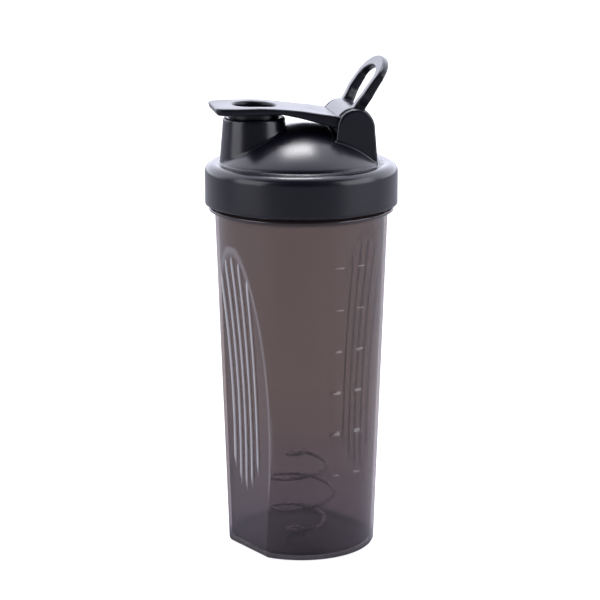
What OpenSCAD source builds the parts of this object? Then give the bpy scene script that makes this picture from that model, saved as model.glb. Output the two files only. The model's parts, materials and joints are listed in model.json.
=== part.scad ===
/* [Cup] */
// Outside radius of the cup at its base
cup_base_r = 36.7; // [30:0.1:42]
// Outside radius of the cup just under its shoulder ring
cup_top_r = 42.7; // [39:0.1:52]
// Height of the tapered wall, from the table to the shoulder ring
cup_h = 171; // [140:1:210]
// Thickness of the cup's wall
cup_wall = 1.6; // [1.2:0.1:2.2]
// Thickness of the cup's floor
floor_t = 2; // [1.5:0.1:3]
// Rounding of the cup's lower edge
base_round = 2.4; // [1:0.1:4]
// Radius of the shallow recess under the base
foot_recess_r = 27; // [20:0.5:28]
// Depth of the shallow recess under the base
foot_recess_h = 0.8; // [0.4:0.1:1.2]
// Turn of the grips round the cup, away from the spout
grip_turn = 25; // [0:1:90]

/* [Grips] */
// Depth of each flat grip at the base, measured inward from the round wall
grip_depth = 3.9; // [2:0.1:5]
// Height where the flat grip starts to curve outward
grip_bend_z = 40; // [20:1:60]
// Plain wall left between a grip's top and the shoulder ring
grip_top_gap = 15; // [10:1:30]
// Number of ribs on each grip
rib_count = 5; // [3:2:5]
// Distance between neighbouring ribs
rib_pitch = 5.5; // [4:0.1:6]
// Width of one rib
rib_w = 1.9; // [1:0.1:3]
// Height of a rib above the grip
rib_h = 0.9; // [0.4:0.1:1.2]
// Height of the middle rib's lower end above the table
rib_foot_z = 30; // [15:1:40]
// Distance from the middle rib's upper end to the grip's top
rib_top_gap = 3.5; // [3:0.5:10]
// Shortening of a rib at each end, for the first one beside the middle; it grows with the square
rib_stagger = 2.5; // [0:0.1:4]

/* [Volume marks] */
// Height of the lowest mark above the table
mark_foot_z = 43; // [25:1:50]
// Distance between neighbouring marks
mark_step = 21; // [15:0.5:25]
// Width of one mark
mark_w = 5.5; // [3:0.5:8]
// Distance from the middle line to each column of marks
mark_side = 7; // [4:0.5:10]
// Thickness of a mark
mark_t = 0.7; // [0.5:0.1:1.2]
// How far a mark stands out of the wall
mark_proud = 0.25; // [0.15:0.05:0.5]

/* [Neck and thread] */
// Radius added at the shoulder ring
ring_out = 2.9; // [2:0.1:3.5]
// Thickness of the shoulder ring
ring_t = 1.6; // [1:0.1:3]
// Height of the neck above the shoulder ring
neck_h = 17.4; // [15:0.1:24]
// Step from the cup's wall out to the neck
neck_step = 0.2; // [0.1:0.1:1]
// Height of the thread's start above the shoulder ring
thread_rise = 4; // [3:0.1:5]
// Pitch of the single-start thread
thread_pitch = 6; // [5:0.5:7]
// Turns of thread on the neck and in the lid
thread_turns = 1.25; // [1:0.05:1.3]
// Height of the thread's profile
thread_depth = 1.5; // [1:0.1:1.8]
// Clearance between a thread's crest and the wall that it faces
thread_gap = 0.5; // [0.4:0.05:0.8]

/* [Lid] */
// Wall of the lid's collar
collar_wall = 2.6; // [2:0.1:4]
// Gap between the shoulder ring and the collar
collar_gap = 1.6; // [1:0.1:3]
// Rounding of the collar's shoulder
collar_round = 4.5; // [3:0.1:5]
// Width of the flat ring between the collar's shoulder and the dome
shoulder_flat = 2.8; // [1:0.1:4]
// Thickness of the lid's top
lid_t = 2.4; // [2:0.1:3]
// Height of the dome above the collar
dome_h = 19; // [15:0.5:24]
// Height of the small step round the dome
dome_step = 0.7; // [0.5:0.1:3]
// Depth of the skirt that enters the neck
skirt_h = 6; // [4:0.5:9]
// Wall of the skirt
skirt_wall = 1.7; // [1.2:0.1:2.5]
// Thickness of the silicone gasket
gasket_t = 1.9; // [1.5:0.1:3]
// Clearance between the skirt and the neck
skirt_gap = 0.5; // [0.3:0.1:1]
// Clearance round the gasket
seat_gap = 0.3; // [0.2:0.05:0.5]
// Clearance above and below the gasket
face_gap = 0.1; // [0.05:0.05:0.2]

/* [Spout] */
// Distance from the bottle's axis to the spout's axis
spout_x = 23.4; // [21:0.1:24]
// Outside radius of the spout at its rim
spout_r = 15.1; // [14:0.1:16]
// Widening of the spout for each millimetre downward
spout_draft = 0.085; // [0:0.005:0.1]
// Height of the spout's rim above the collar
spout_h = 22.7; // [21:0.1:24]
// Outside radius of the cap's plug
plug_r = 11.9; // [9.5:0.1:12]
// Clearance between the plug and the spout's bore
plug_gap = 0.5; // [0.4:0.05:0.8]
// Depth of the close bore that the plug enters
seat_depth = 9; // [7:0.5:10]
// Wall of the spout below that bore
spout_wall = 2.2; // [1.6:0.1:3]

/* [Flip cap] */
// Gap between the spout's rim and the cap's plate
plate_gap = 2.8; // [1:0.1:4]
// Thickness of the cap's plate
plate_t = 3.6; // [2.5:0.1:4]
// Half the width of the plate over the spout
plate_half_w = 18.1; // [17.5:0.1:18.5]
// Half the width of the plate at its thumb tip
tip_half_w = 16.6; // [14:0.1:17]
// Distance from the spout's axis to the thumb tip
tip_reach = 20.8; // [18:0.1:22]
// Rounding of the tip's corners
tip_round = 3.5; // [2:0.1:6]
// Slimming of the arm on each side, between the spout and the ears
arm_waist = 1.1; // [0:0.1:2]
// Height of the arm's top above the hinge's axis, where it meets the barrel
arm_top_h = 5.6; // [4:0.1:7]
// Depth of the plug below the plate
plug_h = 10.7; // [8:0.1:11]
// Wall of the hollow plug
plug_wall = 1.5; // [1.2:0.1:2]
// Radius of the seal ring's section
seal_r = 0.8; // [0.6:0.05:1]
// How far the seal ring stands out of the plug
seal_proud = 0.2; // [0.1:0.05:0.2]
// Depth of the seal ring's middle below the spout's rim
seal_drop = 4.5; // [3:0.5:5]

/* [Hinge and carry loop] */
// Distance from the bottle's axis to the hinge
hinge_x = 23.3; // [21:0.1:24]
// Height of the hinge above the collar
hinge_h = 18.8; // [18:0.1:20]
// Radius of the hinge pin
pin_r = 2.5; // [1.5:0.1:3]
// Running clearance between the pin and what turns on it
pin_gap = 0.06; // [0.03:0.01:0.1]
// Radius of the loop's barrel
barrel_r = 9.7; // [8:0.1:10]
// Half the length of the loop's barrel
barrel_half_w = 17.2; // [16:0.1:17.4]
// Thickness of the cap's ears
ear_t = 1.4; // [1:0.1:2]
// Clearance between the hinge's side faces
side_gap = 0.35; // [0.2:0.05:0.4]
// Clearance round the barrel
barrel_gap = 0.45; // [0.3:0.05:0.8]
// Thickness of each hinge tower
tower_t = 2.4; // [2:0.1:4]
// Wall left outside the blind end of each of the pin's sockets
socket_skin = 0.8; // [0.6:0.1:1]
// How much smaller the towers' arches and the cap's ears are than the barrel
arch_step = 0.5; // [0.3:0.1:1]
// Length of the loop from the hinge's axis to its end
loop_len = 36.4; // [32:0.2:42]
// Backward lean of the loop from upright
loop_lean = 30.6; // [24:0.2:34]
// Thickness of the loop at its end
loop_tip_t = 3.1; // [2.5:0.1:5]
// Thickness of the loop at the barrel
loop_root_t = 6.2; // [5:0.1:7]
// Forward bow of the loop at half its length
loop_bow = 1.1; // [0:0.1:1.5]
// Spread of each limb beyond the barrel's end
loop_spread = 2.6; // [0:0.1:3]
// Width of the loop's side limbs
limb_w = 6.2; // [5:0.1:8]
// Width of the loop's outer end
loop_end_w = 6; // [4:0.1:8]
// Length of the loop's oval end
loop_oval = 10; // [6:0.5:12]

/* [Whisk ball] */
// Radius of the wire
wire_r = 1; // [0.8:0.05:1.2]
// Radius of the ball at its middle, to the wire's centre
ball_r = 16.4; // [14:0.1:20]
// Height of the ball
ball_h = 46; // [40:1:60]
// Turns of wire
ball_turns = 4; // [3:1:6]

/* [Hidden] */
$fn = 96;
cut = 1;
embed = 0.4;

// Heights, from the table upward
ring_z = cup_h;
neck_z = ring_z + ring_t;
rim_z = neck_z + neck_h;
collar_z = neck_z + collar_gap;
lid_under_z = rim_z + gasket_t + 2 * face_gap;
collar_top_z = lid_under_z + lid_t;
hinge_z = collar_top_z + hinge_h;
spout_z = collar_top_z + spout_h;
plate_z = spout_z + plate_gap;
plug_z = plate_z - plug_h;
seal_z = spout_z - seal_drop;

// Radii, from the neck outward and inward
neck_r = cup_top_r + neck_step;
neck_in_r = cup_top_r - cup_wall;
collar_in_r = neck_r + thread_depth + thread_gap;
collar_r = collar_in_r + collar_wall;
skirt_r = neck_in_r - skirt_gap;
skirt_in_r = skirt_r - skirt_wall;
dome_r = collar_r - collar_round - shoulder_flat;
dome_rise = dome_h - dome_step;
dome_sphere_r = (dome_r * dome_r + dome_rise * dome_rise) / (2 * dome_rise);
dome_centre_z = collar_top_z + dome_h - dome_sphere_r;

// Thread profile; the lid's thread runs below the neck's, one offset lower
thread_root_w = 2.6;
thread_crest_w = 1;
thread_flank_gap = 0.35;
thread_z = neck_z + thread_rise;
thread_overlap = (thread_depth + thread_gap + 2 * embed) / (2 * (thread_depth + embed));
thread_offset = thread_root_w - (thread_root_w - thread_crest_w) * thread_overlap + thread_flank_gap;
lid_thread_start = 180;

// Hinge stack, outward from the middle
ear_in = barrel_half_w + side_gap;
ear_out = ear_in + ear_t;
tower_in = ear_out + side_gap;
tower_out = tower_in + tower_t;
pin_half = tower_out - socket_skin;
pocket_r = barrel_r + barrel_gap;
tower_r = barrel_r - arch_step;

function cup_r(z) = cup_base_r + (cup_top_r - cup_base_r) * z / cup_h;

// Each grip is upright up to its bend, then curves outward to meet the wall at its top
grip_top_z = cup_h - grip_top_gap;
grip_rise = grip_top_z - grip_bend_z;
grip_swing = cup_r(grip_top_z) - cup_base_r + grip_depth;
grip_bend_r = (grip_rise * grip_rise + grip_swing * grip_swing) / (2 * grip_swing);
function grip_x(z) =
    cup_base_r - grip_depth
    + (z > grip_bend_z ? grip_bend_r - sqrt(grip_bend_r * grip_bend_r - pow(z - grip_bend_z, 2)) : 0);
function smooth(t) = t <= 0 ? 0 : t >= 1 ? 1 : t * t * (3 - 2 * t);

// The tapered body of the cup, grown or shrunk by d, from z0 to the shoulder
module cup_cone(d, z0) {
    translate([0, 0, z0])
        cylinder(h = cup_h - z0, r1 = cup_r(z0) + d, r2 = cup_top_r + d);
}

// The space beyond one grip's surface, moved inward by d
module grip_space(d) {
    top = grip_top_z + grip_top_gap / 2;
    steps = 14;
    reach = 1.2 * cup_top_r;
    rotate([90, 0, 0])
        linear_extrude(height = 2 * cup_top_r, center = true)
            polygon(concat(
                [[reach, -cut], [grip_x(0) - d, -cut]],
                [for (i = [0:steps])
                    let (z = grip_bend_z + (top - grip_bend_z) * i / steps) [grip_x(z) - d, z]],
                [[reach, top]]));
}

module both_grips() {
    for (side = [0, 180])
        rotate([0, 0, grip_turn + side]) children();
}

// One rib on a grip, y from its middle line, following the grip's surface
module grip_rib(y, z_low, z_high) {
    steps = 10;
    run = 4;
    translate([0, y + rib_w / 2, 0])
        rotate([90, 0, 0])
            linear_extrude(height = rib_w)
                polygon(concat(
                    [for (i = [0:steps])
                        let (z = z_low + (z_high - z_low) * i / steps) [grip_x(z) - embed, z]],
                    [for (i = [steps:-1:0])
                        let (z = z_low + run + (z_high - z_low - 2 * run) * i / steps)
                        [grip_x(z) + rib_h, z]]));
}

// A single-start thread: a trapezium swept along a helix, with run-outs at both ends
module thread(root_r, crest_r, z_start, angle_start) {
    per_turn = 48;
    n = round(per_turn * thread_turns);
    run_out = 5;
    slim = 0.15;
    points = [for (i = [0:n])
        let (
            a = angle_start + 360 * i / per_turn,
            z = z_start + thread_pitch * (angle_start / 360 + i / per_turn),
            k = max(slim, min(1, i / run_out, (n - i) / run_out)),
            rc = root_r + (crest_r - root_r) * k,
            wr = thread_root_w / 2,
            wc = thread_crest_w / 2)
        for (p = [[root_r, -wr], [rc, -wc], [rc, wc], [root_r, wr]])
            [p[0] * cos(a), p[0] * sin(a), z + p[1]]];
    outward = crest_r > root_r;
    sides = [for (i = [0:n - 1], j = [0:3])
        let (a = 4 * i + j, b = 4 * i + (j + 1) % 4)
        for (f = [[a, b, b + 4], [a, b + 4, a + 4]])
            outward ? f : [f[2], f[1], f[0]]];
    first = outward ? [3, 2, 1, 0] : [0, 1, 2, 3];
    last = outward ? [0, 1, 2, 3] : [3, 2, 1, 0];
    polyhedron(points = points, faces = concat(sides, [first, [for (v = last) 4 * n + v]]));
}

// Raised volume marks in two columns, midway between the grips
module volume_marks() {
    count = floor((cup_h - mark_step - mark_foot_z) / mark_step) + 1;
    intersection() {
        difference() {
            cup_cone(mark_proud, base_round + cut);
            cup_cone(-embed, base_round);
        }
        rotate([0, 0, grip_turn - 90])
            for (i = [0:count - 1], side = [-1, 1])
                translate([0, side * mark_side - mark_w / 2, mark_foot_z + mark_step * i])
                    cube([cup_top_r + cut, mark_w, mark_t]);
    }
}

module cup_outside() {
    rib_over = 0.1;
    difference() {
        union() {
            cup_cone(0, base_round);
            rotate_extrude() {
                square([cup_base_r - base_round, base_round]);
                translate([cup_base_r - base_round, base_round])
                    intersection() {
                        circle(r = base_round);
                        translate([0, -base_round]) square(base_round);
                    }
            }
        }
        both_grips() grip_space(0);
    }
    intersection() {
        both_grips()
            for (i = [0:rib_count - 1])
                let (k = i - (rib_count - 1) / 2, short = rib_stagger * k * k)
                    grip_rib(k * rib_pitch, rib_foot_z + short, grip_top_z - rib_top_gap - short);
        cup_cone(rib_over, base_round);
    }
}

module cup() {
    color([0.36, 0.31, 0.31])
        union() {
            difference() {
                union() {
                    cup_outside();
                    translate([0, 0, ring_z]) cylinder(h = ring_t, r = cup_top_r + ring_out);
                    translate([0, 0, ring_z]) cylinder(h = rim_z - ring_z, r = neck_r);
                }
                difference() {
                    cup_cone(-cup_wall, floor_t);
                    both_grips() grip_space(cup_wall);
                }
                translate([0, 0, cup_h - embed]) cylinder(h = rim_z, r = neck_in_r);
                translate([0, 0, -cut]) cylinder(h = cut + foot_recess_h, r = foot_recess_r);
            }
            thread(neck_r - embed, neck_r + thread_depth, thread_z, 0);
            volume_marks();
        }
}

// Wire wound from pole to pole over an upright oval, turn by turn
module whisk_ball() {
    n = 28 * ball_turns;
    sides = 8;
    half_h = ball_h / 2 - wire_r;
    mid_z = floor_t + ball_h / 2;
    function along(i) =
        let (s = -1 + 2 * i / n, lat = 86 * s, a = 360 * ball_turns * i / n)
        [ball_r * cos(lat) * cos(a), ball_r * cos(lat) * sin(a), mid_z + half_h * sin(lat)];
    function unit(v) = v / norm(v);
    function ring(i) =
        let (
            p = along(i),
            t = unit(along(min(n, i + 1)) - along(max(0, i - 1))),
            u = unit(cross([0, 0, 1], t)),
            w = cross(t, u))
        [for (j = [0:sides - 1]) p + wire_r * (cos(360 * j / sides) * u + sin(360 * j / sides) * w)];
    points = [for (i = [0:n]) each ring(i)];
    faces = concat(
        [for (i = [0:n - 1], j = [0:sides - 1])
            let (a = sides * i + j, b = sides * i + (j + 1) % sides)
            for (f = [[a, b + sides, b], [a, a + sides, b + sides]]) f],
        [[for (j = [0:sides - 1]) j], [for (j = [sides - 1:-1:0]) sides * n + j]]);
    color([0.72, 0.72, 0.74])
        polyhedron(points = points, faces = faces);
}

module lid_gasket() {
    in_r = skirt_r + seat_gap;
    out_r = collar_in_r - seat_gap;
    color([0.12, 0.12, 0.13])
        translate([0, 0, rim_z + face_gap])
            rotate_extrude()
                translate([in_r, 0]) square([out_r - in_r, gasket_t]);
}

// Side outline of one hinge tower, in the plane across the hinge's axis
module tower_outline() {
    foot = collar_top_z - hinge_z - lid_t / 2;
    spread_in = 2;
    spread_out = 1.6;
    circle(r = tower_r);
    polygon([[-tower_r, 0], [-tower_r - spread_in, foot], [tower_r + spread_out, foot], [tower_r, 0]]);
}

// What is passed in an X-Z plane is stood up and centred on the hinge, |y| from y0 to y1
module across_hinge(y0, y1) {
    translate([hinge_x, 0, hinge_z])
        rotate([90, 0, 0])
            translate([0, 0, y0]) linear_extrude(height = y1 - y0) children();
}

// Half of the dome's section, d inside its outer face, out to radius r
module dome_section(d, r, z0) {
    intersection() {
        translate([0, dome_centre_z]) circle(r = dome_sphere_r - d);
        translate([0, z0]) square([r, collar_top_z + dome_h - z0]);
    }
}

// Half of the lid's section: collar, shoulder, dome and skirt
module lid_section() {
    difference() {
        union() {
            translate([0, collar_z]) square([collar_r, collar_top_z - collar_round - collar_z]);
            translate([0, collar_z]) square([collar_r - collar_round, collar_top_z - collar_z]);
            translate([collar_r - collar_round, collar_top_z - collar_round])
                intersection() {
                    circle(r = collar_round);
                    square(collar_round);
                }
            dome_section(0, dome_r, collar_top_z - cut);
        }
        difference() {
            translate([0, collar_z - cut]) square([collar_in_r, lid_under_z - collar_z + cut]);
            translate([skirt_in_r, lid_under_z - skirt_h]) square([skirt_wall, skirt_h + cut]);
        }
        dome_hollow();
    }
}

// Half of the hollow's section under the dome
module dome_hollow() {
    dome_section(lid_t, skirt_in_r, lid_under_z - cut);
}

module lid_shell() {
    pocket_wall = 2;
    rotate_extrude() lid_section();
    difference() {
        translate([-spout_x, 0, collar_top_z - embed])
            cylinder(h = spout_h + embed, r1 = spout_r + spout_draft * spout_h, r2 = spout_r);
        rotate_extrude() dome_hollow();
    }
    intersection() {
        across_hinge(-tower_out, tower_out) circle(r = pocket_r + pocket_wall);
        rotate_extrude() dome_section(embed, dome_r, lid_under_z);
    }
    difference() {
        for (y0 = [-tower_out, tower_in])
            across_hinge(y0, y0 + tower_t) tower_outline();
        rotate_extrude() dome_section(lid_t / 2, dome_r, lid_under_z - cut);
    }
}

module lid() {
    color([0.10, 0.10, 0.14])
        union() {
            difference() {
                lid_shell();
                across_hinge(-tower_in, tower_in) circle(r = pocket_r);
                across_hinge(-pin_half, pin_half) circle(r = pin_r);
                translate([-spout_x, 0, spout_z - seat_depth])
                    cylinder(h = seat_depth + cut, r = plug_r + plug_gap);
                translate([-spout_x, 0, lid_under_z])
                    cylinder(h = spout_z - seat_depth - lid_under_z + embed,
                        r = spout_r - spout_wall + spout_draft * seat_depth);
            }
            thread(collar_in_r + embed, collar_in_r - thread_depth, thread_z - thread_offset,
                lid_thread_start);
        }
}

module hinge_pin() {
    color([0.75, 0.76, 0.78])
        across_hinge(-pin_half, pin_half) circle(r = pin_r);
}

// Half the cap's width at x: full over the spout, slimmer in the arm, full again at the ears
function cap_half_w(x) =
    let (spout_end_x = 4 - spout_x, arm_x = -2, ear_x = hinge_x - 15, slim_w = plate_half_w - arm_waist)
    x < arm_x
        ? plate_half_w - arm_waist * smooth((x - spout_end_x) / (arm_x - spout_end_x))
        : slim_w + (ear_out - slim_w) * smooth((x - arm_x) / (ear_x - arm_x));

// The cap seen from above
module cap_plan() {
    steps = 18;
    tip_x = -spout_x - tip_reach;
    start_x = -spout_x - 8;
    side = [for (i = [0:steps])
        let (x = start_x + i * (hinge_x - start_x) / steps) [x, cap_half_w(x)]];
    corner = [for (a = [0:15:90])
        [tip_x + tip_round * (1 - cos(a)), tip_half_w - tip_round + tip_round * sin(a)]];
    upper = concat(corner, side);
    polygon(concat(upper, [for (i = [len(upper) - 1:-1:0]) [upper[i][0], -upper[i][1]]]));
}

// The cap seen from the side, from the thumb tip to the barrel
module cap_side() {
    steps = 10;
    slant = 0.8;
    edge = 0.6;
    top_power = 1.4;
    under_power = 1.1;
    top_inset = 2.1;
    tip_x = -spout_x - tip_reach;
    end_x = hinge_x - pocket_r + top_inset;
    under_start_x = 11.4 - spout_x;
    under_end_x = hinge_x - pocket_r + side_gap;
    top_z = plate_z + plate_t;
    arm_z = hinge_z + arm_top_h;
    polygon(concat(
        [[tip_x + slant, plate_z], [tip_x, top_z - edge], [tip_x + edge, top_z]],
        [for (i = [0:steps])
            let (t = i / steps)
            [(end_x + spout_x) * t - spout_x, top_z - (top_z - arm_z) * pow(t, top_power)]],
        [[end_x, hinge_z]],
        [for (i = [steps:-1:0])
            let (t = i / steps)
            [under_start_x + (under_end_x - under_start_x) * t,
                plate_z - (plate_z - hinge_z) * pow(t, under_power)]]));
}

module flip_cap() {
    rim_chamfer = 0.9;
    recess_r = plug_r - plug_wall;
    color([0.11, 0.11, 0.15])
        difference() {
            union() {
                difference() {
                    intersection() {
                        translate([0, 0, hinge_z - cut]) linear_extrude(height = plate_z) cap_plan();
                        rotate([90, 0, 0])
                            linear_extrude(height = 2 * ear_out, center = true) cap_side();
                    }
                    across_hinge(-ear_in, ear_in) circle(r = pocket_r);
                }
                for (y0 = [-ear_out, ear_in])
                    across_hinge(y0, y0 + ear_t) circle(r = tower_r);
                translate([-spout_x, 0, plug_z]) cylinder(h = plug_h + embed, r = plug_r);
            }
            translate([-spout_x, 0, plug_z + plug_wall]) cylinder(h = plug_h + plate_t, r = recess_r);
            translate([-spout_x, 0, plate_z + plate_t - rim_chamfer])
                cylinder(h = 2 * rim_chamfer, r1 = recess_r, r2 = recess_r + 2 * rim_chamfer);
            seal_ring();
            across_hinge(-ear_out - cut, ear_out + cut) circle(r = pin_r + pin_gap);
        }
}

// The ring of round section that sits in the plug's groove
module seal_ring() {
    translate([-spout_x, 0, seal_z])
        rotate_extrude()
            translate([plug_r + seal_proud - seal_r, 0]) circle(r = seal_r, $fn = 24);
}

module spout_seal() {
    color([0.2, 0.2, 0.21])
        seal_ring();
}

// Limbs that spread from the barrel's width and end in half an oval, moved inward by d
module loop_outline(d, low, top, oval) {
    root_w = barrel_half_w - d;
    full_w = root_w + loop_spread;
    spread_from = barrel_r + side_gap;
    spread_to = spread_from + 2 * loop_spread + cut;
    polygon(concat(
        [[-root_w, low], [-root_w, spread_from], [-full_w, spread_to]],
        [for (a = [180:-10:0]) [full_w * cos(a), top - oval + oval * sin(a)]],
        [[full_w, spread_to], [root_w, spread_from], [root_w, low]]));
}

// The loop's tapered and bowed thickness seen from the side, most of it in front of the middle line
module loop_side() {
    steps = 10;
    front_share = 0.83;
    function thickness(t) = loop_root_t + (loop_tip_t - loop_root_t) * t;
    function bow(t) = loop_bow * sin(180 * t);
    polygon(concat(
        [for (i = [0:steps]) let (t = i / steps) [-front_share * thickness(t) - bow(t), loop_len * t]],
        [for (i = [steps:-1:0])
            let (t = i / steps) [(1 - front_share) * thickness(t) - bow(t), loop_len * t]]));
}

module carry_loop() {
    inner_oval = 0.7 * loop_oval;
    color([0.10, 0.10, 0.14])
        difference() {
            union() {
                across_hinge(-barrel_half_w, barrel_half_w) circle(r = barrel_r);
                translate([hinge_x, 0, hinge_z])
                    rotate([0, loop_lean, 0])
                        intersection() {
                            rotate([90, 0, 90])
                                linear_extrude(height = 4 * loop_root_t, center = true)
                                    difference() {
                                        loop_outline(0, barrel_r / 2, loop_len, loop_oval);
                                        loop_outline(limb_w, 0, loop_len - loop_end_w, inner_oval);
                                    }
                            rotate([90, 0, 0])
                                linear_extrude(height = 2 * (barrel_half_w + loop_spread), center = true)
                                    loop_side();
                        }
            }
            across_hinge(-barrel_half_w - cut, barrel_half_w + cut) circle(r = pin_r + pin_gap);
        }
}

cup();
whisk_ball();
lid_gasket();
lid();
hinge_pin();
flip_cap();
spout_seal();
carry_loop();
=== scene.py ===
"""Looks of a protein shaker bottle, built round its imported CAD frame.

Every piece is made as a mesh in millimetres and scaled to metres once.
"""
import itertools
import json
import math

import bpy
import numpy as np
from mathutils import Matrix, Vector


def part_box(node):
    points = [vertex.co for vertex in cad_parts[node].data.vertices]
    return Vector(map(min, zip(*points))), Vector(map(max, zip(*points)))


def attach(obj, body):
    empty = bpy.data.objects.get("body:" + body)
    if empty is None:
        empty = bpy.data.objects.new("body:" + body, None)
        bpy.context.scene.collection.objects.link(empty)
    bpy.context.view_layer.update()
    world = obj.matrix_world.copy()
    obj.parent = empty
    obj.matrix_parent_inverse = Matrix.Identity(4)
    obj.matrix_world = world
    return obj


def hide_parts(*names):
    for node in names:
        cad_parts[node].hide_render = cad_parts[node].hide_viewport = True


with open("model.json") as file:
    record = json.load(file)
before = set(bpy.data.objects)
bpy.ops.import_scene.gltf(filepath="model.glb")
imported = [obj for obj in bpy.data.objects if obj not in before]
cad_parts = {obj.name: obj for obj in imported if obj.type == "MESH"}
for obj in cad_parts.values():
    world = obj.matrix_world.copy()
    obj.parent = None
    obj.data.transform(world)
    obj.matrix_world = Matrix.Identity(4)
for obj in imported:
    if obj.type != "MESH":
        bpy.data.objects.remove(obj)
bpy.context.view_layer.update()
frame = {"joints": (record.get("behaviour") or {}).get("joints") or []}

MM = 0.001


# ---------------------------------------------------------------- sizes from the frame

def box_mm(node):
    """Lowest and highest corners of a CAD node at rest, in millimetres."""
    low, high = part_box(node)
    return np.array(low) / MM, np.array(high) / MM


def joint_mm(name):
    """A point on a joint's axis, in millimetres."""
    joint = next(j for j in frame["joints"] if j["name"] == name)
    return np.array(joint["pos_m"]) / MM


cup_high = box_mm("cup")[1]
lid_low, lid_high = box_mm("lid")
gasket_low, gasket_high = box_mm("lid_gasket")
cap_low, cap_high = box_mm("flip_cap")
seal_low, seal_high = box_mm("spout_seal")
loop_low, loop_high = box_mm("carry_loop")
pin_low, pin_high = box_mm("hinge_pin")
whisk_high = box_mm("whisk_ball")[1]
hinge = joint_mm("cap_hinge")

# Cup
RIM_Z = cup_high[2]
NECK_H = 17.4
RING_T = 1.6
NECK_Z = RIM_Z - NECK_H
RING_Z = NECK_Z - RING_T
CUP_TOP_R = 42.7
CUP_BASE_R = 36.7
CUP_WALL = 1.6
FLOOR_T = 2.0
BASE_ROUND = 2.4
FLOOR_ROUND = 2.5
FOOT_RECESS_R = 27.0
FOOT_RECESS_H = 0.8
RING_PROUD = 2.9
RING_R = CUP_TOP_R + RING_PROUD
NECK_PROUD = 0.2
NECK_R = CUP_TOP_R + NECK_PROUD
THREAD_PITCH = 6.0
THREAD_TURNS = 1.25
THREAD_DEPTH = 1.5
THREAD_GAP = 0.5
THREAD_HALF_ROOT = 1.3
THREAD_HALF_CREST = 0.5
THREAD_FOOT = 4.0
THREAD_Z = NECK_Z + THREAD_FOOT
THREAD_LEAD_IN = 0.09
LID_THREAD_START = 0.5
LID_THREAD_DROP = 1.77

# Grips
GRIP_TURN = math.radians(25)
GRIP_DEPTH = 3.9
GRIP_BEND_Z = 40.0
GRIP_TOP_GAP = 15.0
GRIP_TOP_Z = RING_Z - GRIP_TOP_GAP
GRIP_BLEND = 0.4
RIB_FOOT_Z = 30.0
RIB_TOP_GAP = 3.5
RIB_STAGGER = 2.5
RIB_COUNT = 5
RIB_PITCH = 5.5
RIB_HALF_W = 0.8
RIB_FLANK = 0.5
RIB_H = 0.95
RIB_FOOT_RUN = 8.0
RIB_TOP_RUN = 3.0
EDGE_SHARE = 0.28

# Volume marks
MARK_TURN = GRIP_TURN - math.pi / 2
MARK_HEIGHTS = 43.0 + 21.0 * np.arange(6)
MARK_SIDE = 7.0
MARK_HALF_W = 2.75
MARK_T = 0.7
MARK_PROUD = 0.15

# Lid
COLLAR_T = 2.6
COLLAR_R = NECK_R + THREAD_DEPTH + THREAD_GAP + COLLAR_T
COLLAR_IN_R = COLLAR_R - COLLAR_T
COLLAR_Z = lid_low[2]
COLLAR_ROUND = 4.5
LID_T = 2.4
FACE_GAP = 0.1
LID_UNDER_Z = gasket_high[2] + FACE_GAP
COLLAR_TOP_Z = LID_UNDER_Z + LID_T
DOME_INSET = 2.8
DOME_R = COLLAR_R - COLLAR_ROUND - DOME_INSET
DOME_H = 19.0
DOME_STEP = 0.7
DOME_RISE = DOME_H - DOME_STEP
DOME_SPHERE_R = (DOME_R ** 2 + DOME_RISE ** 2) / (2 * DOME_RISE)
DOME_CENTRE_Z = COLLAR_TOP_Z + DOME_H - DOME_SPHERE_R
SKIRT_GAP = 0.5
SKIRT_T = 1.7
SKIRT_H = 6.0
SKIRT_R = CUP_TOP_R - CUP_WALL - SKIRT_GAP
SKIRT_IN_R = SKIRT_R - SKIRT_T
SKIRT_Z = LID_UNDER_Z - SKIRT_H

# Spout
SPOUT_X = (seal_low[0] + seal_high[0]) / 2
SPOUT_R = 15.1
SPOUT_DRAFT = 0.085
SPOUT_H = 22.7
SPOUT_Z = COLLAR_TOP_Z + SPOUT_H
SPOUT_WALL = 2.2
PLUG_R = 11.9
BORE_GAP = 0.5
BORE_R = PLUG_R + BORE_GAP
BORE_DEPTH = 9.0

# Cap
PLATE_GAP = 2.8
PLATE_Z = SPOUT_Z + PLATE_GAP
PLATE_TOP_Z = cap_high[2]
PLUG_H = 10.7
PLUG_Z = PLATE_Z - PLUG_H
PLUG_WALL = 1.5
CAP_HALF_W = 18.1
CAP_CORNER = 4.0
CAP_WAIST = 1.1
GROOVE_R = 0.8
TIP_X = cap_low[0]

# Hinge
BARREL_R = 9.7
SIDE_GAP = 0.35
LOOP_HALF_W = loop_high[1]
LOOP_SPREAD = 2.6
BARREL_HALF_W = LOOP_HALF_W - LOOP_SPREAD
EAR_IN = BARREL_HALF_W + SIDE_GAP
EAR_OUT = cap_high[1]
TOWER_IN = EAR_OUT + SIDE_GAP
TOWER_T = 2.4
TOWER_OUT = TOWER_IN + TOWER_T
TOWER_STEP = 0.5
TOWER_BACK_LEAN = 0.085
TOWER_FRONT_LEAN = 0.105
TOWER_R = BARREL_R - TOWER_STEP
POCKET_GAP = 0.45
POCKET_R = BARREL_R + POCKET_GAP
PIN_R = (pin_high[2] - pin_low[2]) / 2
PIN_PLAY = 0.06
PIN_BORE_R = PIN_R + PIN_PLAY
LOOP_LEN = 36.4
LOOP_LEAN = math.radians(30.6)
LOOP_ROOT_T = 6.2
LOOP_TIP_T = 3.1
LOOP_FRONT_SHARE = 0.83
LOOP_BOW = 1.1
LOOP_OVAL = 10.0
LIMB_W = 6.2
LOOP_END_W = 6.0

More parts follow.
